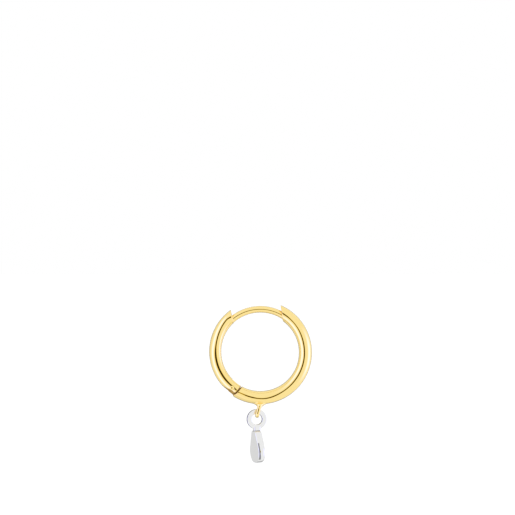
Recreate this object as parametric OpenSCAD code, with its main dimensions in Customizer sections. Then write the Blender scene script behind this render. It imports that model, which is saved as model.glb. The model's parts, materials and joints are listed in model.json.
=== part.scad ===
// Hoop charm earring: a round hinged hoop that snaps shut on its ear post, with a
// small bell-shaped drop hanging from a loop soldered under the hoop.
// Millimetres, +Z up. The hoop stands in the XZ plane, and the drop hangs edge-on.
// The origin is the middle of the ear post at its highest point, where it hangs.
// Angles round the hoop start at +X and run towards +Z.

/* [Hoop] */
// Radius of the hoop, to the middle of its tube
hoop_r = 5.92; // [5.5:0.02:8]
// Thickness of the long arc's tube
hoop_d = 1.7; // [1.6:0.02:2.2]
// Where the long arc ends by the post, in degrees round the hoop
mouth_angle = 61.7; // [54:0.1:68]
// Lean of the long arc's cut end from upright, in degrees
mouth_lean = 8; // [0:1:16]

/* [Clasp arm] */
// Thickness of the short arc's tube
arm_d = 1.58; // [1.5:0.02:1.9]
// How far the short arc's centre sits above the long arc's
arm_rise = 0.13; // [0:0.01:0.15]
// Where the short arc ends by the post, in degrees round its own centre
arm_end_angle = 129; // [122:0.5:136]
// Lean of the short arc's cut end from upright, in degrees
arm_lean = 10; // [0:1:16]

/* [Ear post] */
// Thickness of the post
post_d = 0.86; // [0.7:0.02:0.9]
// How far the post's middle lies inside the tube's middle
post_inset = 0.24; // [0.1:0.02:0.26]
// How far the post is sunk in the short arc
post_sink = 0.5; // [0.3:0.05:0.8]
// How far the closed post reaches into the long arc
catch_depth = 1.2; // [0.8:0.05:1.4]
// Room round the post in its hole
catch_room = 0.06; // [0.05:0.01:0.09]
// Room between the post's end and the floor of its hole
catch_floor = 0.15; // [0.1:0.05:0.3]

/* [Hinge] */
// Place of the hinge, in degrees round the hoop
hinge_angle = 231.4; // [225:0.2:240]
// Thickness of the hinge pin
pin_d = 0.6; // [0.4:0.02:0.7]
// How far the pin's domed ends stand out of the short arc's sides
pin_proud = 0.03; // [0.01:0.01:0.06]
// Room round the pin in the two cheeks that hold it
pin_seat = 0.015; // [0.01:0.005:0.03]
// Room round the pin in the tongue that turns on it
pin_room = 0.03; // [0.02:0.01:0.06]
// How much wider the rounded knuckle is than the short arc, each way
knuckle_over = 0.02; // [0:0.01:0.05]
// Gap between the knuckle and the shoulder that it turns in
knuckle_gap = 0.05; // [0.03:0.01:0.08]
// Cut of the shoulder's outer lip, in degrees from the outward direction
lip_angle = 45; // [40:1:60]
// Thickness of the long arc's tongue
tongue_t = 0.52; // [0.4:0.02:0.6]
// Gap between the tongue and each cheek
tongue_gap = 0.04; // [0.03:0.01:0.08]
// How far the tongue's rounded end lies inside the long arc's surface
tongue_inset = 0.21; // [0.18:0.01:0.3]

/* [Charm loop] */
// Thickness of the loop's wire
loop_wire = 0.5; // [0.4:0.02:0.6]
// Width of the loop's hole
loop_hole = 1.05; // [1:0.05:1.6]
// Radius of the loop's four corners, to the middle of its wire
loop_corner = 0.36; // [0.32:0.02:0.44]
// Where the loop is soldered, in degrees round the hoop
loop_angle = 269.7; // [262:0.1:278]
// Lean of the loop from upright, its foot towards the hinge, in degrees
loop_lean = 14; // [0:1:20]
// How far the loop is sunk in the hoop
loop_sink = 0.2; // [0.1:0.02:0.3]
// Width of the solder at the hoop, each way from the loop's middle
solder_w = 0.5; // [0.4:0.02:0.6]
// How far the solder runs down the loop
solder_h = 0.28; // [0.15:0.01:0.28]

/* [Charm ring] */
// Thickness of the ring's bar, outward
ring_bar = 0.58; // [0.4:0.02:0.6]
// Width of the ring's bar, along its axis
ring_width = 0.5; // [0.42:0.02:0.52]
// Rounding of the bar's edges
ring_edge = 0.06; // [0.05:0.01:0.2]
// Width of the ring's hole
ring_hole = 1.44; // [1.4:0.02:2]
// Gap between the hanging ring and the loop
link_gap = 0.04; // [0.03:0.01:0.06]
// Where the ring's centre hangs from the loop, in degrees from straight down
ring_offset = 7; // [0:1:20]
// Turn of the ring towards the viewer, its hinge side nearer, in degrees
ring_turn = 12; // [0:1:12]

/* [Drop] */
// Height of the drop
drop_h = 4.12; // [3.8:0.02:6]
// Width of the drop at its widest
drop_w = 3.64; // [3.3:0.02:4.4]
// Width of the drop's flat foot
drop_foot = 0.8; // [0.4:0.05:1.2]
// Thickness of the drop
drop_t = 0.99; // [0.8:0.01:1.2]
// Radius of the drop's top
drop_top_r = 1.05; // [0.8:0.05:1.25]
// Rounding of the drop's edges
drop_edge = 0.26; // [0.14:0.02:0.36]
// Width of the square neck between ring and drop
neck_w = 0.84; // [0.5:0.02:0.88]
// Rounding of the neck's edges
neck_edge = 0.12; // [0.06:0.01:0.2]
// Length of the neck between the ring and the drop
neck_gap = 0.23; // [0.15:0.01:0.6]
// How far the neck is sunk in the drop
neck_sink = 0.3; // [0.2:0.05:0.5]
// Turn of the drop's flat back towards the viewer, in degrees
drop_turn = 18.5; // [0:0.5:30]
// Lean of the drop from upright, its foot away from the hinge, in degrees
drop_lean = 3.4; // [0:0.2:6]

/* [Hidden] */
$fn = 96;

// Length and turn that cutting shapes run past what they cut
reach = 2 * hoop_d;
end_turn = 14;

// Ear post and hoop centre
post_r = hoop_r - post_inset;
mouth_offset = hoop_r * cos(mouth_angle - mouth_lean);
mouth_post_angle = mouth_lean + acos(mouth_offset / post_r);
post_tip_angle = mouth_post_angle - degrees(catch_depth, post_r);
arm_end = [hoop_r * cos(arm_end_angle), arm_rise + hoop_r * sin(arm_end_angle)];
arm_end_offset = arm_end[0] * cos(arm_lean) + arm_end[1] * sin(arm_lean);
post_root_angle = arm_lean + acos(arm_end_offset / post_r) + degrees(post_sink, post_r);
catch_angle = (mouth_post_angle + post_tip_angle) / 2;
catch_r = post_d / 2 + catch_room;

// Hinge
hinge = polar(hoop_r, hinge_angle);
knuckle_r = arm_d / 2 + knuckle_over;
shoulder_r = knuckle_r + knuckle_gap;
tongue_r = hoop_d / 2 - tongue_inset;
tongue_root = shoulder_r + tongue_inset;
pin_half = arm_d / 2 + pin_proud;

// Charm loop, ring and drop, in the hoop's plane
loop_half = (loop_hole + loop_wire) / 2;
loop_outer = loop_half + loop_wire / 2;
loop_run = loop_half - loop_corner;
loop_foot = polar(hoop_r + hoop_d / 2, loop_angle);
loop_centre = loop_foot - (loop_outer - loop_sink) * up(loop_lean);
loop_low = loop_centre - loop_half * up(loop_lean);
ring_mid_r = (ring_hole + ring_bar) / 2;
ring_drop = ring_hole / 2 - loop_wire / 2 - link_gap;
ring_centre = loop_low - ring_drop * up(ring_offset);
neck_end = ring_mid_r + ring_bar / 2 + neck_gap;

// Drop outline: two low rounds joined by the flat foot, a small round above, and the lines
// that touch them
foot_half = drop_foot / 2;
drop_r = drop_w / 2 - foot_half;
drop_span = drop_h - drop_r - drop_top_r;
round_gap = norm([foot_half, drop_span]);
side_lap = drop_top_r / 5;
side_angle = atan2(foot_half, drop_span) + asin((drop_r - drop_top_r) / round_gap);
side_length = sqrt(round_gap * round_gap - (drop_r - drop_top_r) * (drop_r - drop_top_r));

function degrees(length, r) = length / r * 180 / PI;
function polar(r, a) = r * [cos(a), sin(a)];
function up(lean) = [sin(lean), cos(lean)];

// Carries a drawing of the hoop's plane to its place: x stays, y turns up
module in_hoop_plane() {
  translate([0, 0, -post_r]) rotate([90, 0, 0]) children();
}

// The hinge's own axes in that plane: x along the tube, y towards the hoop's centre
module at_hinge() {
  translate(hinge) rotate(hinge_angle + 90) children();
}

module tube_arc(r, d, from, to) {
  rotate([0, 0, from]) rotate_extrude(angle = to - from) translate([r, 0]) circle(d = d);
}

module through(width) {
  linear_extrude(height = width, center = true) children();
}

// Half plane at a point, on one side of a line that leans from upright
module half_plane(point, lean, side) {
  translate(point) rotate(lean) translate([side < 0 ? -reach : 0, -reach]) square([reach, 2 * reach]);
}

// What the long arc leaves free for the knuckle
module knuckle_room() {
  circle(r = shoulder_r);
  translate([-reach, 0]) square([reach + shoulder_r, reach]);
  polygon([[0, 0], [-reach, 0], [-reach, -reach], reach * [sin(lip_angle), -cos(lip_angle)]]);
}

// What is cut off the short arc's end to leave the knuckle
module knuckle_waste() {
  difference() {
    translate([0, -reach]) square([reach, 2 * reach]);
    circle(r = knuckle_r);
    square([knuckle_r, reach]);
  }
}

module tongue() {
  circle(r = tongue_r);
  translate([0, -tongue_r]) square([tongue_root, 2 * tongue_r]);
}

// Wire bent into a square with round corners: four bends, each with a straight run before it
module charm_loop() {
  rotate([0, 90, 0]) for (quarter = [0:3]) rotate([0, 0, 90 * quarter]) {
    translate([loop_run, loop_run, 0])
      rotate_extrude(angle = 90) translate([loop_corner, 0]) circle(d = loop_wire);
    translate([loop_half, -loop_run, 0]) rotate([-90, 0, 0]) cylinder(d = loop_wire, h = 2 * loop_run);
  }
}

// Wedge of solder on both sides of the loop's top run
module loop_solder() {
  foot = loop_wire / 2;
  rotate([90, 0, 0]) linear_extrude(height = 2 * loop_run, center = true)
    polygon([
      [-solder_w, loop_sink], [solder_w, loop_sink], [solder_w, 0],
      [foot, -solder_h], [-foot, -solder_h], [-solder_w, 0]
    ]);
}

module hoop_arc() {
  color([0.96, 0.8, 0.46]) difference() {
    union() {
      in_hoop_plane() {
        difference() {
          tube_arc(hoop_r, hoop_d, hinge_angle, 360 + mouth_angle + end_turn);
          through(2 * hoop_d) at_hinge() knuckle_room();
          through(2 * hoop_d) half_plane(polar(hoop_r, mouth_angle), mouth_lean, -1);
        }
        through(tongue_t) at_hinge() tongue();
      }
      translate([loop_centre[0], 0, loop_centre[1] - post_r]) rotate([0, loop_lean, 0]) charm_loop();
      translate([loop_foot[0], 0, loop_foot[1] - post_r]) rotate([0, loop_lean, 0]) loop_solder();
    }
    in_hoop_plane() {
      through(2 * hoop_d) at_hinge() circle(d = pin_d + 2 * pin_room);
      translate(polar(post_r, catch_angle)) rotate([0, 0, catch_angle])
        translate([0, -catch_depth / 2 - catch_floor, 0]) rotate([-90, 0, 0])
          cylinder(r = catch_r, h = catch_depth + catch_floor + reach);
    }
  }
}

module clasp_arm() {
  color([0.96, 0.8, 0.46]) in_hoop_plane() {
    difference() {
      translate([0, arm_rise, 0])
        tube_arc(hoop_r, arm_d, arm_end_angle - end_turn, hinge_angle + end_turn);
      through(2 * arm_d) half_plane(arm_end, arm_lean, 1);
      through(2 * arm_d) at_hinge() knuckle_waste();
      through(tongue_t + 2 * tongue_gap) at_hinge()
        translate([-tongue_r - knuckle_gap, -reach]) square([2 * reach, 2 * reach]);
      through(2 * arm_d) at_hinge() circle(d = pin_d + 2 * pin_seat);
    }
    tube_arc(post_r, post_d, post_tip_angle, post_root_angle);
  }
}

// Pin whose domed ends follow the roundness of the short arc's sides
module hinge_pin() {
  color([0.9, 0.74, 0.42]) in_hoop_plane() translate(hinge) intersection() {
    cylinder(d = pin_d, h = 2 * pin_half, center = true);
    sphere(r = pin_half);
  }
}

// Half of the drop's cross-section, from inner to width: flat back and front, rounded edges
module drop_profile(width, inner = 0) {
  translate([inner, 0]) square([width - drop_edge - inner, drop_t]);
  translate([width - 2 * drop_edge, drop_edge]) square([2 * drop_edge, drop_t - 2 * drop_edge]);
  for (height = [drop_edge, drop_t - drop_edge])
    translate([width - drop_edge, height]) circle(r = drop_edge);
}

// Straight stretch of the drop's outline, along y, from inner out to the low rounds' radius
module drop_run(length, inner) {
  rotate([90, 0, 0]) mirror([0, 0, 1]) linear_extrude(height = length) drop_profile(drop_r, inner);
}

module drop_side() {
  translate([foot_half, 0, 0]) rotate([0, 0, side_angle])
    drop_run(side_length, drop_r - drop_top_r - side_lap);
}

// The drop lies on its flat back, its middle line along y, with the origin in its top
module drop() {
  core = (drop_r - drop_top_r) * [cos(side_angle), sin(side_angle)];
  core_end = [foot_half + core[0], core[1]];
  translate([0, drop_r - drop_h, -drop_t / 2]) {
    for (place = [-foot_half, foot_half])
      translate([place, 0, 0]) rotate_extrude() drop_profile(drop_r);
    translate([0, drop_span, 0]) rotate_extrude() drop_profile(drop_top_r);
    drop_side();
    mirror([1, 0, 0]) drop_side();
    translate([-foot_half, 0, 0]) rotate([0, 0, -90]) drop_run(drop_foot, -side_lap);
    linear_extrude(height = drop_t)
      polygon([[-foot_half, 0], [foot_half, 0], core_end, [0, drop_span], [-core_end[0], core_end[1]]]);
  }
}

// Cross-section of a bar with rounded edges
module bar_profile(width, height, edge) {
  side = width / 2 - edge;
  rise = height / 2 - edge;
  square([width, 2 * rise], center = true);
  square([2 * side, height], center = true);
  for (x = [-side, side], y = [-rise, rise]) translate([x, y]) circle(r = edge);
}

module charm_ring() {
  rotate([90, 0, 0]) rotate_extrude() translate([ring_mid_r, 0]) bar_profile(ring_bar, ring_width, ring_edge);
}

// The neck runs from the middle of the ring's bar into the drop
module neck() {
  translate([0, 0, -neck_end - neck_sink])
    linear_extrude(height = neck_end + neck_sink - ring_mid_r) bar_profile(neck_w, neck_w, neck_edge);
}

module drop_charm() {
  color([0.86, 0.86, 0.87])
    translate([ring_centre[0], 0, ring_centre[1] - post_r]) {
      rotate([0, 0, ring_turn]) charm_ring();
      rotate([0, 0, drop_turn]) neck();
      translate([0, 0, -neck_end]) rotate([0, -drop_lean, 0]) rotate([0, 0, drop_turn])
        rotate([90, 0, 90]) drop();
    }
}

hoop_arc();
clasp_arm();
hinge_pin();
drop_charm();
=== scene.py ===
import json
import math

import bpy
import numpy as np
from bpy.props import FloatProperty, FloatVectorProperty, PointerProperty
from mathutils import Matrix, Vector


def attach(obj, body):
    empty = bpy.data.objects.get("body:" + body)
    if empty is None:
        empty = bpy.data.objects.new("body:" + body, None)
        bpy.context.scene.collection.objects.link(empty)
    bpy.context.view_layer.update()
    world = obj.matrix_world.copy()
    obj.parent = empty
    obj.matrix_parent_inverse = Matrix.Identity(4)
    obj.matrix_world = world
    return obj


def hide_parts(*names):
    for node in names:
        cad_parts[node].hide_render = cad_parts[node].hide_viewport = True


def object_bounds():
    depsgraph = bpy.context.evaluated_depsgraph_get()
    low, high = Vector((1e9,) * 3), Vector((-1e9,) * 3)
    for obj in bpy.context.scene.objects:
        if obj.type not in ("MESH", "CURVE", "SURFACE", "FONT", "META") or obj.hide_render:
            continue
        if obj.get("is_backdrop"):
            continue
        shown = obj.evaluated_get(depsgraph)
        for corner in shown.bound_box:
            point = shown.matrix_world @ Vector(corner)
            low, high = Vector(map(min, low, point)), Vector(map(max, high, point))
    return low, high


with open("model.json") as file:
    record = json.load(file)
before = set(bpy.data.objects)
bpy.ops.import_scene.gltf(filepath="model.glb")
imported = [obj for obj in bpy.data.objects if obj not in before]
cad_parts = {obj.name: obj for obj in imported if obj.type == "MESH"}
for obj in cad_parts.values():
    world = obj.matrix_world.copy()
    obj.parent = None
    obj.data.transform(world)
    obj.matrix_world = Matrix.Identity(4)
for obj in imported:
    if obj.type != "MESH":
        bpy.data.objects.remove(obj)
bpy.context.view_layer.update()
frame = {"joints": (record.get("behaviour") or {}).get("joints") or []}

bl_info = {
    "name": "Hoop Charm Earring",
    "version": (1, 0, 0),
    "blender": (4, 5, 0),
    "location": "3D View > Sidebar > Earring",
    "description": "Builds a polished gold hinged hoop with a small silver drop",
    "category": "Add Mesh",
}

MM = 0.001
JOINTS = {joint["name"]: joint for joint in frame["joints"]}
HINGE = np.array(JOINTS["clasp_hinge"]["pos_m"])
LOOP_LOW = np.array(JOINTS["charm_swing"]["pos_m"])
ACROSS = np.array([0.0, 1.0, 0.0])
UP = np.array([0.0, 0.0, 1.0])


def length(name, text, millimetres, low=0.0):
    """A length property whose default is given in millimetres."""
    return FloatProperty(name=name, description=text, default=millimetres * MM, min=low * MM, unit="LENGTH",
                         precision=5)


def turn(name, text, degrees):
    """An angle property whose default is given in degrees."""
    return FloatProperty(name=name, description=text, default=math.radians(degrees), subtype="ANGLE")


def share(name, text, value):
    """A number from 0 to 1."""
    return FloatProperty(name=name, description=text, default=value, min=0.0, max=1.0, subtype="FACTOR")


def tint(name, text, red, green, blue):
    """A colour property."""
    return FloatVectorProperty(name=name, description=text, default=(red, green, blue), size=3, subtype="COLOR",
                               min=0.0, max=1.0)


class HoopSizes(bpy.types.PropertyGroup):
    """Sizes of the gold hoop, its clasp arm, ear post and hinge."""

    post_radius: length("Post radius", "From the hoop's centre to the middle of the ear post", 5.68)
    tube_radius: length("Tube radius", "Half the thickness of the long arc's tube", 0.85)
    mouth_angle: turn("Mouth angle", "Where the long arc ends by the post", 61.7)
    mouth_lean: turn("Mouth lean", "Lean of the long arc's cut end from upright", 8)
    arm_tube_radius: length("Arm tube radius", "Half the thickness of the short arc's tube", 0.79)
    arm_rise: length("Arm rise", "How far the short arc's centre sits above the long arc's", 0.13)
    arm_angle: turn("Arm angle", "Where the short arc ends by the post", 129)
    arm_lean: turn("Arm lean", "Lean of the short arc's cut end from upright", 10)
    wire_radius: length("Post wire radius", "Half the thickness of the ear post", 0.43)
    post_depth: length("Post depth", "How far the closed post reaches into the long arc", 1.2)
    catch_room: length("Catch room", "Room round the post in its hole", 0.06)
    catch_floor: length("Catch floor", "Room between the post's end and the floor of its hole", 0.15)
    edge: length("Edge", "Rounding of the tubes' cut edges", 0.07)
    hinge_edge: length("Hinge edge", "Rounding of the edges beside the hinge's seam", 0.14)
    relief: length("Relief", "Depth filed off the outer side of the knuckle", 0.04)
    knuckle_radius: length("Knuckle radius", "Radius of the rounded end of the clasp arm", 0.81)
    knuckle_gap: length("Knuckle gap", "Gap between the knuckle and the shoulder that it turns in", 0.05)
    lip_angle: turn("Lip angle", "Cut of the shoulder's outer lip from the outward direction", 45)
    tongue_thickness: length("Tongue thickness", "Thickness of the long arc's tongue", 0.52)
    tongue_gap: length("Tongue gap", "Gap between the tongue and each cheek", 0.04)
    tongue_radius: length("Tongue radius", "Radius of the tongue's rounded end", 0.64)
    pin_radius: length("Pin radius", "Half the thickness of the hinge pin", 0.3)
    pin_half: length("Pin half length", "From the middle of the hinge to the top of the pin's dome", 0.82)
    pin_seat: length("Pin seat", "Room round the pin in the cheeks", 0.015)
    pin_room: length("Pin room", "Room round the pin in the tongue", 0.03)
    loop_angle: turn("Loop angle", "Where the charm loop is soldered", 269.7)
    loop_lean: turn("Loop lean", "Lean of the loop from upright", 14)
    loop_mid: length("Loop radius", "Radius of the loop, to the middle of its wire", 0.775)
    loop_corner: length("Loop corner", "Radius of the loop's corners, to the middle of its wire", 0.36)
    loop_wire: length("Loop wire radius", "Half the thickness of the loop's wire", 0.25)
    loop_flat: share("Loop flatness", "How much the loop's outer side is flattened", 0.15)
    solder: length("Solder", "Reach of the solder round the loop's foot", 0.85)


class CharmSizes(bpy.types.PropertyGroup):
    """Sizes of the silver charm: ring, neck and bell-shaped drop."""

    ring_mid: length("Ring radius", "Radius of the ring, to the middle of its bar", 1.01)
    ring_bar: length("Ring bar", "Thickness of the ring's bar, outward", 0.58)
    ring_width: length("Ring width", "Width of the ring's bar, along its axis", 0.5)
    ring_edge: length("Ring edge", "Rounding of the bar's edges", 0.06)
    link_gap: length("Link gap", "Gap between the hanging ring and the loop", 0.04)
    ring_offset: turn("Ring offset", "Where the ring's centre hangs from the loop", 7)
    ring_turn: turn("Ring turn", "Turn of the ring towards the viewer, its hinge side nearer", 12)
    neck_half: length("Neck half width", "Half the thickness of the square neck", 0.42)
    neck_edge: length("Neck edge", "Rounding of the neck's edges", 0.12)
    neck_gap: length("Neck gap", "Length of the neck between the ring and the drop", 0.23)
    notch: length("Notch", "Half the width of the groove under the neck", 0.06)
    height: length("Drop height", "Height of the drop", 4.12)
    foot: length("Foot width", "Width of the drop's flat foot", 0.8)
    low_radius: length("Low radius", "Radius of the drop's two low rounds", 1.42)
    top_radius: length("Top radius", "Radius of the drop's top", 1.05)
    thickness: length("Thickness", "Thickness of the drop", 0.99)
    edge: length("Edge", "Rounding of the drop's back edge", 0.07)
    front_edge: length("Front edge", "Rounding of the drop's front edge", 0.28)
    crease_height: length("Crease height", "Height above the flat back of the crease in the drop's rim", 0.285)
    crease_depth: length("Crease depth", "Depth of that crease", 0.06)
    crease_width: length("Crease width", "Width of that crease", 0.055)
    crease_sag: length("Crease sag", "How much nearer to the back the crease runs in its middle", 0.08)
    dome: length("Dome", "Rise of the drop's softly domed front", 0.05)
    turn: turn("Drop turn", "Turn of the drop's flat back towards the viewer", 18.5)
    lean: turn("Drop lean", "Lean of the drop from upright, its foot away from the hinge", 3.4)


class Finish(bpy.types.PropertyGroup):
    """Colours and polish of the metals."""

    gold: tint("Gold", "Polished yellow gold", 0.985, 0.785, 0.335)
    gold_deep: tint("Deep gold", "Gold where the polish is a little warmer", 0.97, 0.75, 0.3)
    # Seam gold is darker than the polished gold as painted shade in the hinge's seams, cut faces, holes and
    # recessed tongue; the rougher sawn finish there is real.
    seam: tint("Seam gold", "Sawn gold inside the seams", 0.6, 0.38, 0.1)
    silver: tint("Silver", "Polished silver", 0.85, 0.85, 0.845)
    silver_soft: tint("Soft silver", "Silver where the polish is a little duller", 0.815, 0.815, 0.81)
    tarnish: tint("Tarnish", "Tarnished silver in the creases", 0.36, 0.36, 0.36)
    polish: share("Polish", "Lowest roughness of the polished metal", 0.03)
    wear: share("Wear", "How much handling adds to the roughness", 0.06)


class Studio(bpy.types.PropertyGroup):
    """Camera, floor and light."""

    lens: FloatProperty(name="Lens", description="Focal length of the camera", default=200.0, unit="CAMERA")
    distance: length("Distance", "From the camera to the hoop's plane", 375.6)
    camera_x: length("Camera place", "Sideways place of the camera", -0.368, low=-10)
    camera_z: length("Camera height", "Height of the camera", 6.794)
    floor_gap: length("Floor gap", "From the drop's lowest point to the floor", 0.04)


class Skin:
    """Rings of points that are skinned one after another into one surface."""

    def __init__(self, inside=False):
        self.points = []
        self.faces = []
        self.last = []
        self.inside = inside
        # Faces marked here take the second material: painted shade in the gold pieces, tarnish in the silver.
        self.tarnish_and_shade = []

    def ring(self, points, tarnish_and_shade=None):
        """Adds a ring, or a single point that closes the surface, and joins it to the one before."""
        rows = np.asarray(points, float).reshape(-1, 3)
        here = range(len(self.points), len(self.points) + len(rows))
        self.points.extend(map(tuple, rows))
        count = max(len(here), len(self.last))
        for i in range(count if self.last else 0):
            j = (i + 1) % count
            if len(here) == 1:
                self.faces.append((self.last[i], self.last[j], here[0]))
            elif len(self.last) == 1:
                self.faces.append((self.last[0], here[j], here[i]))
            else:
                self.faces.append((self.last[i], self.last[j], here[j], here[i]))
        self.last = list(here)
        self.tarnish_and_shade += [self.inside] * (len(self.faces) - len(self.tarnish_and_shade)) if tarnish_and_shade is None else list(tarnish_and_shade)

    def close(self, first_count):
        """Joins the last ring to the first, as a ring of wire does."""
        for i in range(first_count):
            j = (i + 1) % first_count
            self.faces.append((self.last[i], self.last[j], j, i))

    def build(self, name, materials):
        """A new object with this surface, its faces turned outward, the inside ones in the second material."""
        mesh = bpy.data.meshes.new(name)
        mesh.from_pydata(self.points, [], self.faces)
        for material in materials:
            mesh.materials.append(material)
        self.tarnish_and_shade += [self.inside] * (len(self.faces) - len(self.tarnish_and_shade))
        mesh.polygons.foreach_set("material_index", np.array(self.tarnish_and_shade, np.int32))
        made = bpy.data.objects.new(name, mesh)
        bpy.context.scene.collection.objects.link(made)
        turn_outward(mesh)
        return made


def mesh_points(mesh):
    """The points of a mesh as rows."""
    points = np.empty(len(mesh.vertices) * 3)
    mesh.vertices.foreach_get("co", points)
    return points.reshape(-1, 3)


def turn_outward(mesh):
    """Flips the whole surface if its volume comes out negative."""
    points = mesh_points(mesh)
    mesh.calc_loop_triangles()
    corners = np.empty(len(mesh.loop_triangles) * 3, int)
    mesh.loop_triangles.foreach_get("vertices", corners)
    a, b, c = (points[corners.reshape(-1, 3)[:, k]] for k in range(3))
    if np.einsum("ij,ij->i", a, np.cross(b, c)).sum() < 0:
        mesh.flip_normals()


def around(count):
    """Angles that go once round, without the last one repeated."""
    return np.linspace(0.0, 2 * math.pi, count, endpoint=False)


def quarter(steps):
    """Angles of a quarter turn, both ends included."""
    return np.linspace(0.0, math.pi / 2, steps + 1)


def ramp(value, nothing, full):
    """0 at nothing, 1 at full, straight between them and level beyond."""
    return np.clip((value - nothing) / (full - nothing), 0.0, 1.0)


def smooth(part):
    """A ramp with soft ends."""
    return part * part * (3 - 2 * part)


def rounded_box(width, height, edge, steps=12):
    """Points round a rectangle with rounded corners, and the directions outward from them."""
    turns = np.concatenate([quarter(steps) + k * math.pi / 2 for k in range(4)])
    corner = np.repeat([(1, 1), (-1, 1), (-1, -1), (1, -1)], steps + 1, axis=0)
    out = np.stack([np.cos(turns), np.sin(turns)], 1)
    points = corner * [width / 2 - edge, height / 2 - edge] + edge * out
    kept = np.linalg.norm(points - np.roll(points, -1, axis=0), axis=1) > 1e-9
    return points[kept], out[kept]


def spread(points, out, gap):
    """The same outline with points added on its straight runs, so that none lie further apart than gap."""
    made = []
    for i in range(len(points)):
        a, b = np.hstack([points[i], out[i]]), np.hstack([points[i - len(points) + 1], out[i - len(points) + 1]])
        count = max(1, math.ceil(np.linalg.norm(b[:2] - a[:2]) / gap))
        made += [a + (b - a) * k / count for k in range(count)]
    made = np.array(made)
    return made[:, :2], made[:, 2:]


def round_section(wire, flat=0.0, count=64):
    """Section of a round wire, its outer side a little flattened."""
    phi = around(count)
    outer = np.maximum(np.cos(phi), 0)
    return np.stack([wire * (np.cos(phi) - flat * outer ** 4), wire * np.sin(phi)], 1)


def wire_ring(name, materials, centre, axis, side, half, corner, section, inside=False):
    """A wire bent into a closed ring, round or with rounded corners, half its width to the wire's middle."""
    other = np.cross(axis, side)
    skin = Skin(inside)
    for place, out in zip(*spread(*rounded_box(2 * half, 2 * half, corner, steps=36), 0.05 * MM)):
        middle = centre + place[0] * side + place[1] * other
        outward = out[0] * side + out[1] * other
        skin.ring(middle + np.outer(section[:, 0], outward) + np.outer(section[:, 1], axis))
    skin.close(len(section))
    return skin.build(name, materials)


def lathe(name, materials, profile, centre, axis, side, inside=False):
    """A turned form: profile holds (radius, height) pairs along the axis, the ends on the axis itself."""
    other = np.cross(axis, side)
    skin = Skin(inside)
    phi = around(96)
    for radius, height in profile:
        middle = centre + height * axis
        if radius < 1e-9:
            skin.ring(middle)
        else:
            skin.ring(middle + radius * (np.outer(np.cos(phi), side) + np.outer(np.sin(phi), other)))
    return skin.build(name, materials)


def combine(piece, other, operation):
    """Joins another object to a piece or cuts it away, and removes the other object."""
    step = piece.modifiers.new("combine", "BOOLEAN")
    step.operation = operation
    step.solver = "EXACT"
    step.object = other
    depsgraph = bpy.context.evaluated_depsgraph_get()
    made = bpy.data.meshes.new_from_object(piece.evaluated_get(depsgraph))
    if not made.polygons:
        raise RuntimeError(f"{piece.name}: nothing is left after {operation}")
    piece.modifiers.clear()
    piece.data = made
    bpy.data.objects.remove(other)


def tube_distance(sizes):
    """Signed distance to the long arc's tube with its oval section, as a function of points."""
    _, middle, centre_z = hinge_tangent(sizes)
    radius = sizes.tube_radius

    def distance(points):
        high = points[:, 2] - centre_z
        lean, flat = arc_shape(np.arctan2(high, points[:, 0]) % (2 * math.pi))
        front = -points[:, 1] / radius
        front = front + flat * np.maximum(front, 0) ** 4
        out = (np.hypot(points[:, 0], high) - middle) / radius * np.hypot(1, lean) - lean * front
        return radius * (np.hypot(out, front) - 1)

    return distance


def link_distance(centre, axis, half, corner, wire, flat):
    """Signed distance to a wire bent into a square with round corners, its outer side a little flattened."""
    up = np.cross(axis, ACROSS)

    def distance(points):
        out = points - centre
        along = out @ axis
        over = np.abs(np.stack([out @ ACROSS, out @ up], 1)) - (half - corner)
        beside = np.linalg.norm(np.maximum(over, 0), axis=1) + np.minimum(over.max(axis=1), 0) - corner
        away = np.maximum(np.hypot(beside, along), 1e-9)
        return away - wire * (1 - flat * np.maximum(beside / away, 0) ** 4)

    return distance


def fill_seam(mesh, first, second, reach):
    """Moves the points near the seam of two forms out to the smooth surface that solder gives them."""
    points = mesh_points(mesh)
    near = (np.abs(first(points)) < reach(points)) & (np.abs(second(points)) < reach(points))
    moved = points[near]

    def field(places):
        a, b, width = first(places), second(places), reach(places)
        return np.minimum(a, b) - np.maximum(width - np.abs(a - b), 0) ** 2 / (4 * width)

    nudge = 1e-7
    for _ in range(12):
        steps = nudge * np.eye(3)
        slope = np.stack([(field(moved + step) - field(moved - step)) / (2 * nudge) for step in steps], 1)
        steep = np.maximum((slope * slope).sum(1), 0.05)
        moved = moved - (field(moved) / steep)[:, None] * slope
    points[near] = moved
    mesh.vertices.foreach_set("co", points.ravel())
    mesh.update()


def finish_piece(piece, body, node):
    """Shades a piece, ties it to its body and hides its CAD node."""
    sharp = math.radians(40)
    piece.data.shade_smooth()
    piece.data.set_sharp_from_angle(angle=sharp)
    weighted = piece.modifiers.new("weighted", "WEIGHTED_NORMAL")
    weighted.keep_sharp = True
    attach(piece, body)
    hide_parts(node)


def node_tree(owner):
    """The emptied node tree of a material or world, and a function that adds linked nodes to it."""
    owner.use_nodes = True
    tree = owner.node_tree
    tree.nodes.clear()

    def add(kind, links=(), **settings):
        made = tree.nodes.new(kind)
        for key, value in settings.items():
            if hasattr(made, key):
                setattr(made, key, value)
            else:
                made.inputs[key.replace("_", " ")].default_value = value
        for socket, source in links:
            tree.links.new(source, made.inputs[socket])
        return made

    return tree, add


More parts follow.
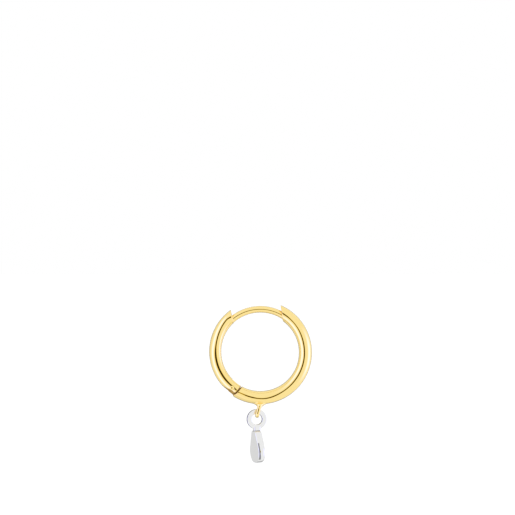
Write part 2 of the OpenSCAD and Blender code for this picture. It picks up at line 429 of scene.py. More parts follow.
def polished_metal(name, bright, deep, polish, wear):
    """Polished metal with a faint warmth of tone, handling wear and fine polishing lines."""
    material = bpy.data.materials.new(name)
    _, add = node_tree(material)
    place = add("ShaderNodeTexCoord").outputs["Object"]
    cloud = add("ShaderNodeTexNoise", [("Vector", place)], Scale=420.0, Detail=3.0, Roughness=0.55)
    smear = add("ShaderNodeTexNoise", [("Vector", place)], Scale=1500.0, Detail=5.0, Roughness=0.6, Distortion=0.4)
    colour = add("ShaderNodeMix", [("Factor", cloud.outputs["Fac"])], data_type="RGBA",
                 A=(*bright, 1), B=(*deep, 1))
    rough = add("ShaderNodeMapRange", [("Value", smear.outputs["Fac"])], From_Min=0.35, From_Max=0.75,
                To_Min=polish, To_Max=polish + wear)
    stretched = add("ShaderNodeMapping", [("Vector", place)], Scale=(1.0, 7.0, 1.0))
    lines = add("ShaderNodeTexNoise", [("Vector", stretched.outputs["Vector"])], Scale=2600.0, Detail=4.0,
                Roughness=0.7)
    swell = add("ShaderNodeTexNoise", [("Vector", place)], Scale=330.0, Detail=1.0, Roughness=0.4)
    soft = add("ShaderNodeBump", [("Height", swell.outputs["Fac"])], Strength=1.0, Distance=0.03 * MM)
    fine = add("ShaderNodeBump", [("Height", lines.outputs["Fac"]), ("Normal", soft.outputs["Normal"])],
               Strength=0.6, Distance=0.0015 * MM)
    shader = add("ShaderNodeBsdfPrincipled", [
        ("Base Color", colour.outputs["Result"]),
        ("Roughness", rough.outputs["Result"]),
        ("Normal", fine.outputs["Normal"]),
    ], Metallic=1.0)
    add("ShaderNodeOutputMaterial", [("Surface", shader.outputs["BSDF"])])
    return material


def shade_and_tarnish_metal(name, colour):
    """Darker, rougher metal with a sawn grain. In the gold its dark colour is painted shade in seams, cut faces
    and recesses; in the silver it is tarnish in the creases.
    """
    material = bpy.data.materials.new(name)
    _, add = node_tree(material)
    place = add("ShaderNodeTexCoord").outputs["Object"]
    strokes = add("ShaderNodeMapping", [("Vector", place)], Scale=(1.0, 0.15, 1.0))
    grain = add("ShaderNodeTexNoise", [("Vector", strokes.outputs["Vector"])], Scale=9000.0, Detail=3.0)
    dark = tuple(0.6 * part for part in colour)
    tone = add("ShaderNodeMix", [("Factor", grain.outputs["Fac"])], data_type="RGBA", A=(*colour, 1), B=(*dark, 1))
    bump = add("ShaderNodeBump", [("Height", grain.outputs["Fac"])], Strength=0.5, Distance=0.004 * MM)
    shader = add("ShaderNodeBsdfPrincipled", [
        ("Base Color", tone.outputs["Result"]),
        ("Normal", bump.outputs["Normal"]),
    ], Metallic=1.0, Roughness=0.38)
    add("ShaderNodeOutputMaterial", [("Surface", shader.outputs["BSDF"])])
    return material


def gold_materials(finish):
    """The polished gold and the darker sawn gold, whose dark colour is painted shade in the seams, made once and
    shared.
    """
    polished = bpy.data.materials.get("gold_polished") or polished_metal(
        "gold_polished", finish.gold, finish.gold_deep, finish.polish, finish.wear)
    sawn_shade = bpy.data.materials.get("gold_sawn_painted_shade") or shade_and_tarnish_metal("gold_sawn_painted_shade", finish.seam)
    return polished, sawn_shade


def hinge_tangent(sizes):
    """The hinge's place round the hoop, the hoop's radius there, and its centre height."""
    centre_z = -sizes.post_radius
    out_x, out_z = HINGE[0], HINGE[2] - centre_z
    return math.atan2(out_z, out_x) % (2 * math.pi), math.hypot(out_x, out_z), centre_z


def hinge_directions(sizes):
    """Directions at the hinge along the tube and in towards the hoop's centre."""
    place, _, _ = hinge_tangent(sizes)
    return np.array([-math.sin(place), 0.0, math.cos(place)]), np.array([-math.cos(place), 0.0, -math.sin(place)])


def hoop_point(radius, angle, across, centre_z):
    """Points of the hoop's plane: radius and angle round its centre, and how far towards the viewer."""
    radius, angle, across = np.broadcast_arrays(radius, angle, across)
    return np.stack([radius * np.cos(angle), -across, radius * np.sin(angle) + centre_z], -1)


def shoulder_line(inward, sizes):
    """How far along the tube the shoulder stands from the hinge, at each place across the tube."""
    reach = sizes.knuckle_radius + sizes.knuckle_gap
    curve = np.sqrt(np.maximum(reach ** 2 - np.minimum(inward, 0) ** 2, 0))
    lip_start = -reach * math.cos(sizes.lip_angle)
    return np.where(inward < lip_start, -inward * math.tan(sizes.lip_angle), curve)


def knuckle_line(inward, sizes):
    """How far along the tube the knuckle reaches past the hinge, at each place across the tube."""
    return np.sqrt(np.maximum(sizes.knuckle_radius ** 2 - np.minimum(inward, 0) ** 2, 0))


def oval(section, lean, flat):
    """The tube's section: a circle sheared a little to one side by lean, its front flattened by flat."""
    front = np.maximum(np.sin(section), 0)
    return (np.cos(section) + lean * np.sin(section)) / math.hypot(1, lean), np.sin(section) - flat * front ** 4


def hill(angle, centre, width, power=2):
    """A smooth hill of height 1 round the hoop, its centre and width in degrees."""
    return np.exp(-np.abs((np.degrees(angle) - centre) / width) ** power)


def arc_shape(angle):
    """Lean of the long arc's oval section and flatness of its front, round the hoop."""
    lean = 0.16 * hill(angle, 277, 15) - 0.13 * hill(angle, 238, 10) - 0.1 * hill(angle, 348, 42, power=4)
    return lean, 0.02 * hill(angle, 246, 14, power=4) - 0.04 * hill(angle, 300, 14) - 0.05 * hill(angle, 408, 20)


def arm_shape(angle):
    """The same for the clasp arm."""
    return 0.35 * hill(angle, 129, 26) - 0.15, 0.12 * hill(angle, 200, 32, power=4)


def hinge_cut(line, sizes, side, rise):
    """The angle at which a line along the tube meets the hinge's cut, as a function of radius and depth."""
    place, middle, _ = hinge_tangent(sizes)

    def angle(radius, depth):
        inward = middle - radius
        for _ in range(8):
            along = line(inward, sizes) + side * depth
            found = place + np.arcsin((along - rise * math.cos(place)) / radius)
            inward = middle - radius * np.cos(found - place) - rise * math.sin(place)
        return found

    return angle


def straight_cut(lean, offset, side, rise=0.0):
    """The same for a flat cut that leans from upright: side is +1 where the metal lies to its right."""

    def angle(radius, depth):
        return lean + np.arccos((offset + side * depth - rise * math.sin(lean)) / radius)

    return angle


def edge_rings(radius, edge, steps=6):
    """Section radius and depth along a rounded edge, from the tube's wall to its end face."""
    return [(radius - edge + edge * math.cos(t), edge - edge * math.sin(t)) for t in quarter(steps)]


def cut_ring(skin, middle, small, cut, depth, centre_z, section):
    """One ring of a tube's cut end: its own radius, and its depth behind the end face."""
    across = middle + small * np.cos(section)
    skin.ring(hoop_point(across, cut(across, depth), small * np.sin(section), centre_z))


def hinge_edge_rings(skin, middle, sizes, radius, cut, centre_z, section):
    """The rounded edge at the hinge's seam, most of it in the darker sawn gold as painted shade that widens the
    seam's dark line.
    """
    rings = edge_rings(radius, sizes.hinge_edge, steps=8)
    sawn_shade = 0.8 * len(rings)
    for count, (small, depth) in enumerate(reversed(rings)):
        skin.inside = count < sawn_shade
        cut_ring(skin, middle, small, cut, depth, centre_z, section)
    skin.inside = False


def tube_angles(first, last, fine_at=None):
    """Places along a tube as shares of its length, closer together round fine_at."""
    coarse, fine, reach = math.radians(0.8), math.radians(0.2), math.radians(8)
    if fine_at is None:
        return np.linspace(0, 1, int((last - first) / coarse) + 1)
    stops = np.concatenate([
        np.arange(first, fine_at - reach, coarse),
        np.arange(fine_at - reach, fine_at + reach, fine),
        np.linspace(fine_at + reach, last, int((last - fine_at - reach) / coarse) + 1),
    ])
    return (stops - first) / (last - first)


def tube_wall(skin, middle, radius, start, end, centre_z, shares, section, shape, relief=None):
    """Rings along a tube between two cuts, given as an angle for each line along it."""
    first, last = start.mean(), end.mean()
    bend, settled = 0.2, 0.05
    for along in shares[1:-1]:
        near = max(0.0, 1 - along / bend) ** 3
        far = max(0.0, 1 - (1 - along) / bend) ** 3
        level = first + (last - first) * along
        angle = level + (start - first) * near + (end - last) * far
        fade = min(1.0, along / settled, (1 - along) / settled)
        lean, flat = shape(level)
        out, across = oval(section, lean * fade, flat * fade)
        filed = relief(along) if relief else np.zeros(len(section))
        small = radius - filed
        # Filed faces take the darker second material: painted shade along the knuckle's outer edge.
        skin.ring(hoop_point(middle + small * out, angle, small * across, centre_z), filed > 0)


def face_rings(skin, middle, radius, cut, centre_z, section):
    """Rings across an end face, from its middle outward."""
    skin.ring(hoop_point(middle, cut(np.array([middle]), 0.0), 0.0, centre_z))
    for small in np.linspace(0, radius, 15)[1:-1]:
        cut_ring(skin, middle, small, cut, 0.0, centre_z, section)


def long_arc(sizes, materials):
    """The long arc's tube, from the hinge's shoulder to the mouth with the hole for the post."""
    _, middle, centre_z = hinge_tangent(sizes)
    section = around(144)
    radius, edge, seam = sizes.tube_radius, sizes.edge, sizes.hinge_edge
    shoulder = hinge_cut(shoulder_line, sizes, 1, 0.0)
    offset = middle * math.cos(sizes.mouth_angle - sizes.mouth_lean)
    mouth = straight_cut(sizes.mouth_lean, offset, 1)
    full = 2 * math.pi
    # The end face and seam edge take the darker sawn gold, painted shade in the hinge's seam.
    skin = Skin(inside=True)
    face_rings(skin, middle, radius - seam, shoulder, centre_z, section)
    hinge_edge_rings(skin, middle, sizes, radius, shoulder, centre_z, section)
    across = middle + radius * np.cos(section)
    start, end = shoulder(across, seam), full + mouth(across, edge)
    shares = tube_angles(start.mean(), end.mean(), fine_at=sizes.loop_angle)
    tube_wall(skin, middle, radius, start, end, centre_z, shares, section, arc_shape)
    for small, depth in edge_rings(radius, edge):
        cut_ring(skin, middle, small, mouth, depth, centre_z, section)
    catch_mouth(skin, sizes, offset, section, centre_z)
    return skin.build("hoop_tube", materials)


def catch_mouth(skin, sizes, offset, section, centre_z):
    """Carries the mouth's face on to the rim of the post's hole, down its wall and over its floor."""
    lean = sizes.mouth_lean
    meeting = lean + math.acos(offset / sizes.post_radius)
    catch_angle = meeting - sizes.post_depth / sizes.post_radius / 2
    out = np.array([math.cos(catch_angle), math.sin(catch_angle)])
    along = np.array([-out[1], out[0]])
    normal = np.array([math.cos(lean), math.sin(lean)])
    middle = sizes.post_radius * out
    bore, rim = sizes.wire_radius + sizes.catch_room, 0.03 * MM

    def bore_ring(radius, depth=None, floor=None):
        flat = middle + np.outer(radius * np.cos(section), out)
        reach = (offset + (depth or 0.0) - flat @ normal) / (along @ normal) if floor is None else floor
        flat = flat + np.outer(np.broadcast_to(reach, len(section)), along)
        return np.stack([flat[:, 0], -radius * np.sin(section), flat[:, 1] + centre_z], 1)

    outer = np.array(skin.points[-len(section):])
    inner = bore_ring(bore + rim)
    for share_in in np.linspace(0, 1, 7)[1:-1]:
        skin.ring(outer + (inner - outer) * share_in)
    for t in quarter(4):
        skin.ring(bore_ring(bore + rim * (1 - math.sin(t)), depth=rim * (1 - math.cos(t))))
    floor = -(sizes.post_depth / 2 + sizes.catch_floor)
    # The hole's wall and floor take the darker sawn gold, painted shade inside the hole.
    skin.inside = True
    for share_in in (0.3, 0.6):
        skin.ring(bore_ring(bore, floor=floor * share_in))
    skin.ring(bore_ring(bore, floor=floor))
    skin.ring(bore_ring(bore * 0.5, floor=floor))
    end = middle + floor * along
    skin.ring(np.array([end[0], 0.0, end[1] + centre_z]))


def tongue(sizes, materials):
    """The tongue that turns between the arm's two cheeks; its eye for the pin is drilled once it is joined to the
    arc.
    """
    along, inward = hinge_directions(sizes)
    radius, half = sizes.tongue_radius, sizes.tongue_thickness / 2
    edge, sink = 0.03 * MM, 0.25 * MM
    root = sizes.knuckle_radius + sizes.knuckle_gap + sink
    turns = np.linspace(math.pi / 2, 3 * math.pi / 2, 49)
    outline = [(math.cos(t), math.sin(t), 0.0) for t in turns] + [(0.0, -1.0, root), (0.0, 1.0, root)]
    # The whole tongue takes the darker sawn gold: painted shade for the tongue set back between the cheeks.
    skin = Skin(inside=True)

    def ring(small, depth):
        skin.ring([HINGE + (small * c + far) * along + small * s * inward + depth * ACROSS
                   for c, s, far in outline])

    skin.ring(HINGE + root / 3 * along + half * ACROSS)
    for t in quarter(4):
        ring(radius - edge + edge * math.sin(t), half - edge + edge * math.cos(t))
    for t in quarter(4)[::-1]:
        ring(radius - edge + edge * math.sin(t), -half + edge - edge * math.cos(t))
    skin.ring(HINGE + root / 3 * along - half * ACROSS)
    return skin.build("tongue", materials)


def pin_drill(sizes, materials, room):
    """A round rod through the hinge that cuts the pin's hole."""
    reach = 1.4 * MM
    radius = sizes.pin_radius + room
    profile = [(0, -reach), (radius, -reach), (radius, reach), (0, reach)]
    # The hole it cuts is lined in the darker sawn gold, painted shade inside the pin's hole.
    return lathe("drill", materials, profile, HINGE, ACROSS, np.array([1.0, 0.0, 0.0]), inside=True)


def loop_place(sizes):
    """Centre and axis of the charm loop."""
    axis = np.array([math.cos(sizes.loop_lean), 0.0, -math.sin(sizes.loop_lean)])
    up = np.array([math.sin(sizes.loop_lean), 0.0, math.cos(sizes.loop_lean)])
    return LOOP_LOW + sizes.loop_mid * up, axis


class EARRING_OT_hoop_arc(bpy.types.Operator):
    """Build the long gold arc with its tongue, mouth and soldered charm loop"""

    bl_idname = "earring.hoop_arc"
    bl_label = "Hoop arc"

    def execute(self, context):
        sizes = context.scene.hoop_sizes
        gold = gold_materials(context.scene.metal_finish)
        piece = long_arc(sizes, gold)
        combine(piece, tongue(sizes, gold), "UNION")
        combine(piece, pin_drill(sizes, gold, sizes.pin_room), "DIFFERENCE")
        centre, axis = loop_place(sizes)
        wire = round_section(sizes.loop_wire, sizes.loop_flat)
        loop = wire_ring("loop", gold, centre, axis, ACROSS, sizes.loop_mid, sizes.loop_corner, wire)
        combine(piece, loop, "UNION")
        loop = link_distance(centre, axis, sizes.loop_mid, sizes.loop_corner, sizes.loop_wire, sizes.loop_flat)
        fill_seam(piece.data, tube_distance(sizes), loop, lambda points: self.solder(sizes, points))
        piece.name = "hoop_arc_finished"
        finish_piece(piece, "hoop", "hoop_arc")
        return {"FINISHED"}

    def solder(self, sizes, points):
        """How far the solder reaches at each point, which is less above the hoop's underside."""
        _, middle, centre_z = hinge_tangent(sizes)
        underside, rise, lost = centre_z - middle - sizes.tube_radius, 0.3 * MM, 0.7
        return sizes.solder * (1 - lost * smooth(ramp(points[:, 2], underside, underside + rise)))


class EARRING_OT_clasp_arm(bpy.types.Operator):
    """Build the short gold arc with its forked knuckle and ear post"""

    bl_idname = "earring.clasp_arm"
    bl_label = "Clasp arm"

    def execute(self, context):
        sizes = context.scene.hoop_sizes
        _, middle, centre_z = hinge_tangent(sizes)
        section = around(144)
        rise, radius, edge, seam = sizes.arm_rise, sizes.arm_tube_radius, sizes.edge, sizes.hinge_edge
        height = centre_z + rise
        knuckle = hinge_cut(knuckle_line, sizes, -1, rise)
        end = np.array([math.cos(sizes.arm_angle) * middle, rise + math.sin(sizes.arm_angle) * middle])
        lean = sizes.arm_lean
        offset = end @ np.array([math.cos(lean), math.sin(lean)])
        top = straight_cut(lean, offset, -1, rise)
        # The knuckle's end face and seam edge take the darker sawn gold, painted shade in the hinge's seam.
        skin = Skin(inside=True)
        face_rings(skin, middle, radius - seam, knuckle, height, section)
        hinge_edge_rings(skin, middle, sizes, radius, knuckle, height, section)
        across = middle + radius * np.cos(section)
        start, stop = knuckle(across, seam), top(across, edge)
        shares = tube_angles(stop.mean(), start.mean())
        tube_wall(skin, middle, radius, start, stop, height, shares, section, arm_shape,
                  lambda along: self.relief(sizes, section, along))
        for small, depth in edge_rings(radius, edge):
            cut_ring(skin, middle, small, top, depth, height, section)
        self.post(skin, sizes, offset, section, centre_z)
        gold = gold_materials(context.scene.metal_finish)
        piece = skin.build("clasp_arm_finished", gold)
        combine(piece, self.slot(sizes, gold), "DIFFERENCE")
        combine(piece, pin_drill(sizes, gold, sizes.pin_seat), "DIFFERENCE")
        finish_piece(piece, "clasp", "clasp_arm")
        return {"FINISHED"}

    def relief(self, sizes, section, along):
        """Depth filed off the knuckle's outer side, which widens towards the hinge; these faces also take the
        darker sawn gold, painted shade along the knuckle's outer edge.
        """
        widest, end, edge = math.radians(62), 0.15, math.radians(5)
        half = widest * math.sqrt(max(0.0, 1 - along / end))
        off = np.minimum(section, 2 * math.pi - section)
        return sizes.relief * ramp(off, half, half - edge)

    def post(self, skin, sizes, offset, section, centre_z):
        """Carries the arm's end face over a fillet of solder on to the post and its rounded tip."""
        lean, wire, fillet = sizes.arm_lean, sizes.wire_radius, 0.1 * MM
        mouth_offset = hinge_tangent(sizes)[1] * math.cos(sizes.mouth_angle - sizes.mouth_lean)
        tip = sizes.mouth_lean + math.acos(mouth_offset / sizes.post_radius) - sizes.post_depth / sizes.post_radius

        def root(radius, step):
            return lean + np.arccos((offset + step) / (sizes.post_radius + radius * np.cos(section)))

        def ring(radius, angle):
            across = sizes.post_radius + radius * np.cos(section)
            return hoop_point(across, angle, radius * np.sin(section), centre_z)

        outer = np.array(skin.points[-len(section):])
        inner = ring(wire + fillet, root(wire + fillet, 0.0))
        for share_in in np.linspace(0, 1, 5)[1:-1]:
            skin.ring(outer + (inner - outer) * share_in)
        for t in quarter(6):
            radius = wire + fillet * (1 - math.sin(t))
            skin.ring(ring(radius, root(radius, fillet * (1 - math.cos(t)))))
        start = root(wire, fillet)
        dome = 0.35 * MM / sizes.post_radius
        for along in np.linspace(0, 1, 90)[1:-1]:
            skin.ring(ring(wire, start + (tip + dome - start) * along))
        for t in quarter(10)[:-1]:
            skin.ring(ring(wire * math.cos(t), tip + dome * (1 - math.sin(t))))
        skin.ring(hoop_point(sizes.post_radius, tip, 0.0, centre_z))

    def slot(self, sizes, materials):
        """The block that is sawn out between the two cheeks."""
        along, inward = hinge_directions(sizes)
        half = sizes.tongue_thickness / 2 + sizes.tongue_gap
        back, reach = sizes.tongue_radius + sizes.knuckle_gap, 2.5 * MM
        # The cheeks' inner faces that this cuts take the darker sawn gold, painted shade between the cheeks.
        skin = Skin(inside=True)
        for depth in (-half, half):
            corners = [(-back, -reach), (reach, -reach), (reach, reach), (-back, reach)]
            skin.ring([HINGE + x * along + y * inward + depth * ACROSS for x, y in corners])
        skin.faces += [(3, 2, 1, 0), (4, 5, 6, 7)]
        return skin.build("slot", materials)


class EARRING_OT_hinge_pin(bpy.types.Operator):
    """Build the pin through the knuckle"""

    bl_idname = "earring.hinge_pin"
    bl_label = "Hinge pin"

    def execute(self, context):
        sizes = context.scene.hoop_sizes
        radius, half, edge = sizes.pin_radius, sizes.pin_half, 0.04 * MM
        dome = [(0.0, half)]
        for share_out in np.linspace(0, 1, 9)[1:]:
            small = (radius - edge) * share_out
            dome.append((small, math.sqrt(half ** 2 - small ** 2)))
        level = dome[-1][1] - edge
        dome += [(radius - edge + edge * math.sin(t), level + edge * math.cos(t)) for t in quarter(4)[1:]]
        profile = [(r, -h) for r, h in dome] + [(r, h) for r, h in reversed(dome)]
        finish = context.scene.metal_finish
        metal = polished_metal("pin_gold", finish.gold_deep, finish.gold, finish.polish, finish.wear)
        piece = lathe("hinge_pin_finished", [metal], profile, HINGE, ACROSS, np.array([1.0, 0.0, 0.0]))
        finish_piece(piece, "clasp", "hinge_pin")
        return {"FINISHED"}


class EARRING_OT_drop_charm(bpy.types.Operator):
    """Build the silver charm: ring, neck and bell-shaped drop"""

    bl_idname = "earring.drop_charm"
    bl_label = "Drop charm"

    def execute(self, context):
        sizes = context.scene.charm_sizes
        hoop = context.scene.hoop_sizes
        finish = context.scene.metal_finish
        silver = (polished_metal("silver_polished", finish.silver, finish.silver_soft, finish.polish, finish.wear),
                  shade_and_tarnish_metal("silver_tarnished", finish.tarnish))
        aim = np.array([math.sin(sizes.ring_offset), 0.0, math.cos(sizes.ring_offset)])
        hang = sizes.ring_mid - sizes.ring_bar / 2 - hoop.loop_wire - sizes.link_gap
        centre = LOOP_LOW - hang * aim
        axis = np.array([-math.sin(sizes.ring_turn), math.cos(sizes.ring_turn), 0.0])
        section, _ = rounded_box(sizes.ring_bar, sizes.ring_width, sizes.ring_edge)
        piece = wire_ring("drop_charm_finished", silver, centre, axis, UP, sizes.ring_mid, sizes.ring_mid, section)
        top = centre - (sizes.ring_mid + sizes.ring_bar / 2 + sizes.neck_gap) * UP
        up = np.array([-math.sin(sizes.lean), 0.0, math.cos(sizes.lean)])
        side = np.array([math.cos(sizes.lean), 0.0, math.sin(sizes.lean)])
        front = math.cos(sizes.turn) * side + math.sin(sizes.turn) * ACROSS
        wide = -math.sin(sizes.turn) * side + math.cos(sizes.turn) * ACROSS
        combine(piece, self.neck(sizes, silver, centre, top, front, wide), "UNION")
        combine(piece, self.drop(sizes, silver, top, wide, up, front), "UNION")
        groove = wire_ring("groove", silver, top, UP, front, sizes.neck_half, sizes.neck_edge,
                           round_section(sizes.notch, count=24), inside=True)
        combine(piece, groove, "DIFFERENCE")
        finish_piece(piece, "charm", "drop_charm")
        return {"FINISHED"}

    def neck(self, sizes, materials, centre, top, front, wide):
        """The square neck with rounded edges, from the ring's bar down into the drop."""
        sink = 0.3 * MM
        section, _ = rounded_box(2 * sizes.neck_half, 2 * sizes.neck_half, sizes.neck_edge)
        flat = np.outer(section[:, 0], front) + np.outer(section[:, 1], wide)
        skin = Skin()
        low, high = top - sink * UP, centre - sizes.ring_mid * UP
        skin.ring(low)
        for level in (low, high):
            skin.ring(level + flat)
        skin.ring(high)
        return skin.build("neck", materials)

    def outline(self, sizes):
        """Rows round the bell outline: centre across and up, radius from it, and direction outward."""
        half, low, top = sizes.foot / 2, sizes.low_radius, sizes.top_radius
        span = sizes.height - low - top
        tilt = math.atan2(half, span) + math.asin((low - top) / math.hypot(half, span))
        down = 1.5 * math.pi
        inner = np.linspace(0, 1, 26)[1:-1]
        foot = [(half * (2 * s - 1), 0.0, low, down) for s in inner]
        right = [(half, 0.0, low, t) for t in np.linspace(down, 2 * math.pi + tilt, 61)]
        side = [(half * (1 - s), span * s, low + (top - low) * s, tilt) for s in inner]
        bulge = 0.12
        crown = [(0.0, span, top * (1 + bulge * math.sin(2 * math.pi * s) ** 2), tilt + (math.pi - 2 * tilt) * s)
                 for s in np.linspace(0, 1, 49)]
        far = [(-x, y, r, math.pi - t) for x, y, r, t in reversed(side)]
        left = [(-half, 0.0, low, t) for t in np.linspace(math.pi - tilt, down, 61)]
        return np.array(foot + right + side + crown + far + left).T

    def drop(self, sizes, materials, origin, wide, up, front):
        """The bell: flat back, creased rim with rounded edges and a softly domed front."""
        across, rise, radius, angle = self.outline(sizes)
        centre = origin + (sizes.low_radius - sizes.height) * up - sizes.thickness / 2 * front
        low = centre + np.outer(across, wide) + np.outer(rise, up)
        out = np.outer(np.cos(angle), wide) + np.outer(np.sin(angle), up)
        middle = centre + 0.2 * sizes.height * up
        level = (rise + radius * np.sin(angle) + sizes.low_radius) / sizes.height
        fade = ramp(level, 0.64, 0.4) * ramp(level, 0.1, 0.15)
        deep = sizes.crease_depth * smooth(fade)

        def ring(inset, height):
            return low + (radius - inset)[:, None] * out + np.multiply.outer(height, front)

        edge, thick, round_front = sizes.edge, sizes.thickness, sizes.front_edge
        lowest, run, highest, least = 0.42, 0.25, 0.75, 0.2
        bow = ((np.minimum(level, highest) - lowest) / run) ** 2 - 1
        crease = sizes.crease_height + sizes.crease_sag * bow
        half = sizes.crease_width / 2 * np.maximum(np.sqrt(fade), least)
        dome = sizes.dome
        skin = Skin()
        skin.ring(middle)
        base = ring(edge, 0.0)
        for scale in np.linspace(0, 1, 12)[1:]:
            skin.ring(middle + (base - middle) * scale)
        for t in quarter(8)[1:]:
            skin.ring(ring(edge * (1 - math.sin(t)), edge * (1 - math.cos(t))))
        for t in np.linspace(-1, 1, 15):
            skin.ring(ring(deep * (0.5 + 0.5 * math.cos(math.pi * t)), crease + half * t), fade > 0)
        shoulder = thick - dome - round_front
        for height in np.linspace(crease.max() + sizes.crease_width, shoulder, 5)[1:]:
            skin.ring(ring(0.0, height))
        for t in quarter(10)[1:]:
            skin.ring(ring(round_front * (1 - math.cos(t)), shoulder + round_front * math.sin(t)))
        top = middle + (thick - dome) * front
        last = ring(round_front, thick - dome)
        for scale in np.linspace(1, 0, 14)[1:]:
            lift = dome * math.cos(scale * math.pi / 2) ** 2 * front
            skin.ring(top + (last - top) * scale + lift if scale > 0 else top + lift)
        return skin.build("drop", materials)


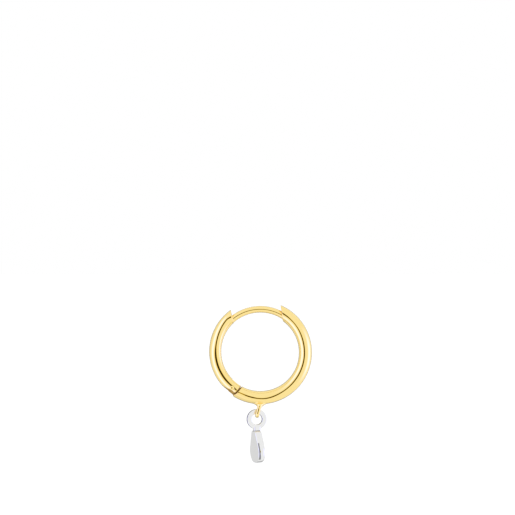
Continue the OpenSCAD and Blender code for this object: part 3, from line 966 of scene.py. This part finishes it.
class EARRING_OT_studio(bpy.types.Operator):
    """Set the camera, the pale floor and the soft light"""

    bl_idname = "earring.studio"
    bl_label = "Studio"

    def execute(self, context):
        studio = context.scene.studio
        self.camera(context, studio)
        self.floor(context, studio)
        self.light(context)
        context.scene.view_settings.view_transform = "Standard"
        return {"FINISHED"}

    def camera(self, context, studio):
        """A level camera with a long lens, as high above the earring as in the photograph."""
        data = bpy.data.cameras.new("camera")
        data.lens = studio.lens
        data.sensor_width = 36.0
        camera = bpy.data.objects.new("camera", data)
        camera.location = (studio.camera_x, -studio.distance, studio.camera_z)
        camera.rotation_euler = (math.pi / 2, 0.0, 0.0)
        context.scene.collection.objects.link(camera)
        context.scene.camera = camera

    def floor(self, context, studio):
        """A pale floor just under the drop."""
        low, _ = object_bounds()
        reach, level = 4.0, low.z - studio.floor_gap
        mesh = bpy.data.meshes.new("floor")
        corners = [(-reach, -reach, level), (reach, -reach, level), (reach, reach, level), (-reach, reach, level)]
        mesh.from_pydata(corners, [], [(0, 1, 2, 3)])
        floor = bpy.data.objects.new("floor", mesh)
        context.scene.collection.objects.link(floor)
        material = bpy.data.materials.new("floor_white")
        _, add = node_tree(material)
        matt = add("ShaderNodeBsdfPrincipled", Roughness=0.2, Base_Color=(0.25, 0.25, 0.25, 1),
                   Emission_Color=(1, 1, 1, 1), Emission_Strength=0.9, Specular_IOR_Level=0.12)
        add("ShaderNodeOutputMaterial", [("Surface", matt.outputs["BSDF"])])
        mesh.materials.append(material)
        floor.visible_glossy = False
        floor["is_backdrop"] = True

    def light(self, context):
        """A light tent: white all round, with a soft box, a duller back and a dark opening in front."""
        world = bpy.data.worlds.new("tent")
        context.scene.world = world
        tree, add = node_tree(world)
        way = add("ShaderNodeTexCoord").outputs["Generated"]
        split = add("ShaderNodeSeparateXYZ", [("Vector", way)])

        def math_node(operation, *terms):
            """One sum, product or function of sockets and numbers."""
            made = add("ShaderNodeMath", operation=operation)
            for socket, term in zip(made.inputs, terms):
                if isinstance(term, (int, float)):
                    socket.default_value = term
                else:
                    tree.links.new(term, socket)
            return made.outputs[0]

        left = math_node("MULTIPLY", split.outputs["X"], -1.0)
        near = math_node("MULTIPLY", split.outputs["Y"], -1.0)
        sideways = math_node("ARCTAN2", left, near)
        height = math_node("ARCSINE", split.outputs["Z"])

        def fall(value, full, nothing):
            """1 where the value is under full, falling smoothly to 0 at nothing."""
            made = add("ShaderNodeMapRange", [("Value", value)], interpolation_type="SMOOTHSTEP",
                       From_Min=full, From_Max=nothing, To_Min=1.0, To_Max=0.0)
            return made.outputs["Result"]

        def panel(value, centre, flat, fade):
            """1 within a flat top round the centre, in degrees, with soft sides."""
            off = math_node("ABSOLUTE", math_node("SUBTRACT", value, math.radians(centre)))
            return fall(off, math.radians(flat), math.radians(flat + fade))

        def round_spot(off, towards, inner, outer):
            """1 round a direction: off the line to the camera, towards an angle as the camera sees it."""
            off, towards = math.radians(off), math.radians(towards)
            aim = (math.sin(off) * math.cos(towards), -math.cos(off), math.sin(off) * math.sin(towards))
            dot = add("ShaderNodeVectorMath", [(0, way)], operation="DOT_PRODUCT")
            dot.inputs[1].default_value = aim
            return fall(math_node("ARCCOSINE", dot.outputs["Value"]), math.radians(inner), math.radians(outer))

        shade = 1.0
        for spot, change in (
            ((150, 183, 30, 60), -0.2),
            ((180, 0, 26, 34), -0.93),
            ((100, 250, 10, 40), -0.12),
            ((142, 270, 16, 34), -0.35),
        ):
            shade = math_node("MULTIPLY", math_node("MULTIPLY_ADD", round_spot(*spot), change, 1.0), shade)
        opening = add("ShaderNodeCombineXYZ")
        for socket, reach in zip(opening.inputs, (13, 14, 17.5)):
            clear = math_node("MULTIPLY_ADD", round_spot(6, 180, 0.55 * reach, reach), -0.98, 1.0)
            tree.links.new(clear, socket)
        right = math_node("MULTIPLY", panel(sideways, 50, 8, 22), panel(height, -6, 26, 34))
        low = math_node("MULTIPLY", panel(height, -6, 8, 30), 1.2)
        lamps = math_node("ADD", right, math_node("MULTIPLY", panel(sideways, -82, 8, 28), low))
        cool = add("ShaderNodeVectorMath", [("Scale", lamps)], operation="SCALE")
        cool.inputs[0].default_value = (0.3, 0.3, 1.4)
        bright = add("ShaderNodeVectorMath", [(0, cool.outputs["Vector"])], operation="ADD")
        bright.inputs[1].default_value = (1.0, 1.0, 1.0)
        lit = add("ShaderNodeVectorMath", [(0, bright.outputs["Vector"]), (1, opening.outputs["Vector"])],
                  operation="MULTIPLY")
        seen = add("ShaderNodeLightPath").outputs["Is Camera Ray"]
        strength = add("ShaderNodeMix", [("Factor", seen), ("A", shade)], B=1.0)
        colour = add("ShaderNodeMix", [("Factor", seen), ("A", lit.outputs["Vector"])], data_type="RGBA",
                     B=(1, 1, 1, 1))
        sky = add("ShaderNodeBackground", [
            ("Strength", strength.outputs["Result"]),
            ("Color", colour.outputs["Result"]),
        ])
        add("ShaderNodeOutputWorld", [("Surface", sky.outputs["Background"])])


class EARRING_PT_panel(bpy.types.Panel):
    """The earring's pieces and their sizes"""

    bl_label = "Hoop Charm Earring"
    bl_idname = "EARRING_PT_panel"
    bl_space_type = "VIEW_3D"
    bl_region_type = "UI"
    bl_category = "Earring"

    def draw(self, context):
        layout = self.layout
        for operator in OPERATORS:
            layout.operator(operator.bl_idname)
        for group in (context.scene.hoop_sizes, context.scene.charm_sizes, context.scene.metal_finish,
                      context.scene.studio):
            box = layout.box()
            for name in group.bl_rna.properties.keys():
                if name not in ("rna_type", "name"):
                    box.prop(group, name)


GROUPS = {"hoop_sizes": HoopSizes, "charm_sizes": CharmSizes, "metal_finish": Finish, "studio": Studio}
OPERATORS = (EARRING_OT_hoop_arc, EARRING_OT_clasp_arm, EARRING_OT_hinge_pin, EARRING_OT_drop_charm,
             EARRING_OT_studio)


def register():
    for group in (*GROUPS.values(), *OPERATORS, EARRING_PT_panel):
        bpy.utils.register_class(group)
    for name, group in GROUPS.items():
        setattr(bpy.types.Scene, name, PointerProperty(type=group))


def unregister():
    for name in GROUPS:
        delattr(bpy.types.Scene, name)
    for group in (EARRING_PT_panel, *reversed(OPERATORS), *reversed(list(GROUPS.values()))):
        bpy.utils.unregister_class(group)


def main():
    """Builds the earring and its studio."""
    register()
    bpy.ops.earring.hoop_arc()
    bpy.ops.earring.clasp_arm()
    bpy.ops.earring.hinge_pin()
    bpy.ops.earring.drop_charm()
    bpy.ops.earring.studio()


if __name__ == "__main__":
    main()
